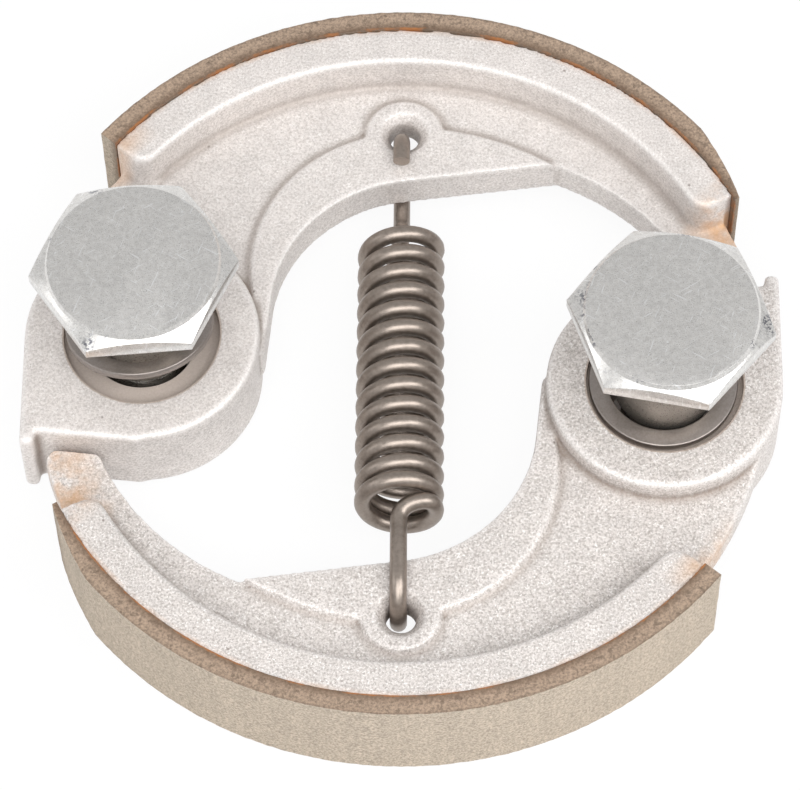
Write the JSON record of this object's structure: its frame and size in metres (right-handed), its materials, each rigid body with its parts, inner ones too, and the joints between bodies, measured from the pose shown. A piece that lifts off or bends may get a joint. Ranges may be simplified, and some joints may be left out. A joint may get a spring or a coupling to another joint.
{
  "type": "centrifugal clutch",
  "caption": "Centrifugal clutch with swinging cast shoes, bonded friction linings, a return spring and shoulder bolts.",
  "frame": {"origin": "on the clutch axis, in the plane that the linings and the bolt ends stand on", "axes": "+Z along the clutch axis towards the bolt heads, the shoe pivots on the X axis, the spring close to the Y axis"},
  "size_m": [0.0728, 0.076, 0.024],
  "materials": {
    "cast_aluminium": "as cast, fine sandy skin",
    "friction_lining": "ground moulded friction material",
    "spring_steel": "dark drawn wire",
    "zinc_plated_steel": "bright zinc, fine scratches",
    "dark_steel": "dark hardened steel"
  },
  "bodies": {
    "bolts": {"pivot_bolt_left": "zinc_plated_steel", "pivot_bolt_right": "zinc_plated_steel", "return_spring": "spring_steel"},
    "rear_shoe": {"shoe_rear": "cast_aluminium", "lining_rear": "friction_lining", "washer_left": "dark_steel"},
    "front_shoe": {"shoe_front": "cast_aluminium", "lining_front": "friction_lining", "washer_right": "dark_steel"}
  },
  "joints": [
    {"name": "rear_shoe_swing", "type": "hinge", "parent": "bolts", "child": "rear_shoe", "pos_m": [-0.0251, 0, 0], "axis": [0, 0, 1], "range_deg": [0, 2], "stiffness_Nm_per_rad": 2, "springref_deg": -8.59, "deforming": ["return_spring"]},
    {"name": "front_shoe_swing", "type": "hinge", "parent": "bolts", "child": "front_shoe", "pos_m": [0.0251, 0, 0], "axis": [0, 0, 1], "range_deg": [0, 2], "stiffness_Nm_per_rad": 2, "springref_deg": -8.59, "deforming": ["return_spring"]}
  ]
}
